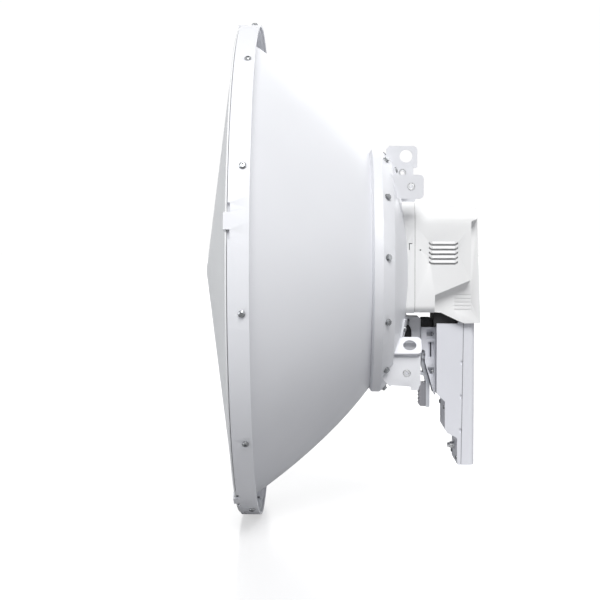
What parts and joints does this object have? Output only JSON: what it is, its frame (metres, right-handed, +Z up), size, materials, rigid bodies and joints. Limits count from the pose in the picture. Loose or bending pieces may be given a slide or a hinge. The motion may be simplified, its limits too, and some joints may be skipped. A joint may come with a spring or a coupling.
{
  "type": "outdoor wireless bridge",
  "caption": "Parabolic dish antenna with a conical radome, rear hub, vented housing and a slide-on radio with a release latch.",
  "frame": {"origin": "on the dish axis, in the plane through the lug holes that the pole bracket bolts to", "axes": "+Y along the dish axis, out of the back, away from the far station; +Z up; X across, square to the lugs' bolting faces"},
  "size_m": [0.6506, 0.364, 0.6506],
  "materials": {
    "dish_paint": "satin powder coat",
    "radome_plastic": "matt",
    "cover_plastic": "fine matt grain",
    "radio_plastic": "fine matt grain",
    "latch_plastic": "matt",
    "grey_plastic": "matt",
    "alloy": "machined",
    "steel": "stainless",
    "dark_steel": "oiled",
    "washer_zinc": "zinc plated",
    "brass": "plated",
    "copper_tube": "drawn tube",
    "dielectric": "waxy",
    "rubber": "matt",
    "circuit_board": "solder mask"
  },
  "bodies": {
    "dish": {"reflector": "dish_paint", "rim_band": "dish_paint", "rim_screws": "steel", "radome": "radome_plastic", "feed_flange": "alloy", "feed_screws": "steel", "feed_tube": "alloy", "dielectric_cone": "dielectric", "sub_reflector": "alloy", "feed_transducer": "alloy", "feed_ports": "brass", "hub_ring": "dish_paint", "ring_bolts": "steel", "hub_dome": "dish_paint", "hoist_lug": "dish_paint", "upper_lug_right": "dish_paint", "upper_lug_left": "dish_paint", "lower_lug_right": "dish_paint", "lower_lug_left": "dish_paint", "lug_plate_right": "dish_paint", "lug_plate_left": "dish_paint", "lug_nuts": "steel", "lug_screws": "steel", "mount_pillar": "dish_paint", "pillar_screws": "steel", "pillar_grommet": "rubber", "housing_base": "cover_plastic", "base_screws": "steel", "housing_seal": "rubber", "duplexer_right": "alloy", "duplexer_left": "alloy", "duplexer_bracket": "steel", "bracket_screws": "steel", "duplexer_plugs": "brass", "feed_links": "copper_tube", "coax_jumpers": "rubber"},
    "cover": {"housing_cover": "cover_plastic"},
    "radio": {"radio_front_shell": "radio_plastic", "radio_rear_shell": "radio_plastic", "radio_gasket": "grey_plastic", "radio_board": "circuit_board", "shield_cans": "steel", "heat_spreader": "alloy", "rf_connectors": "brass", "timing_connector": "brass", "data_jacks": "steel", "rf_boot": "rubber", "radio_plugs": "brass", "radio_carriage": "radio_plastic", "carriage_screws": "steel", "bump_stop": "rubber", "ground_screw": "dark_steel", "ground_washer": "washer_zinc", "case_screws": "steel", "latch_pin": "steel"},
    "latch": {"release_latch": "latch_plastic", "latch_grip": "grey_plastic", "latch_spring": "steel"},
    "reset": {"reset_button": "grey_plastic"}
  },
  "joints": [
    {"name": "cover_pull", "type": "slide", "parent": "dish", "child": "cover", "axis": [0, 1, 0], "range_m": [0, 0.1]},
    {"name": "radio_slide", "type": "slide", "parent": "dish", "child": "radio", "axis": [0, 0, 1], "range_m": [0, 0.016], "deforming": ["coax_jumpers"]},
    {"name": "latch_press", "type": "hinge", "parent": "radio", "child": "latch", "pos_m": [0, 0.0244, -0.112], "axis": [1, 0, 0], "range_deg": [0, 6], "stiffness_Nm_per_rad": 0.5, "springref_deg": -17.19},
    {"name": "reset_press", "type": "slide", "parent": "radio", "child": "reset", "axis": [0, 0, 1], "range_m": [0, 0.0008], "stiffness_N_per_m": 800, "springref_m": -0.0005}
  ]
}
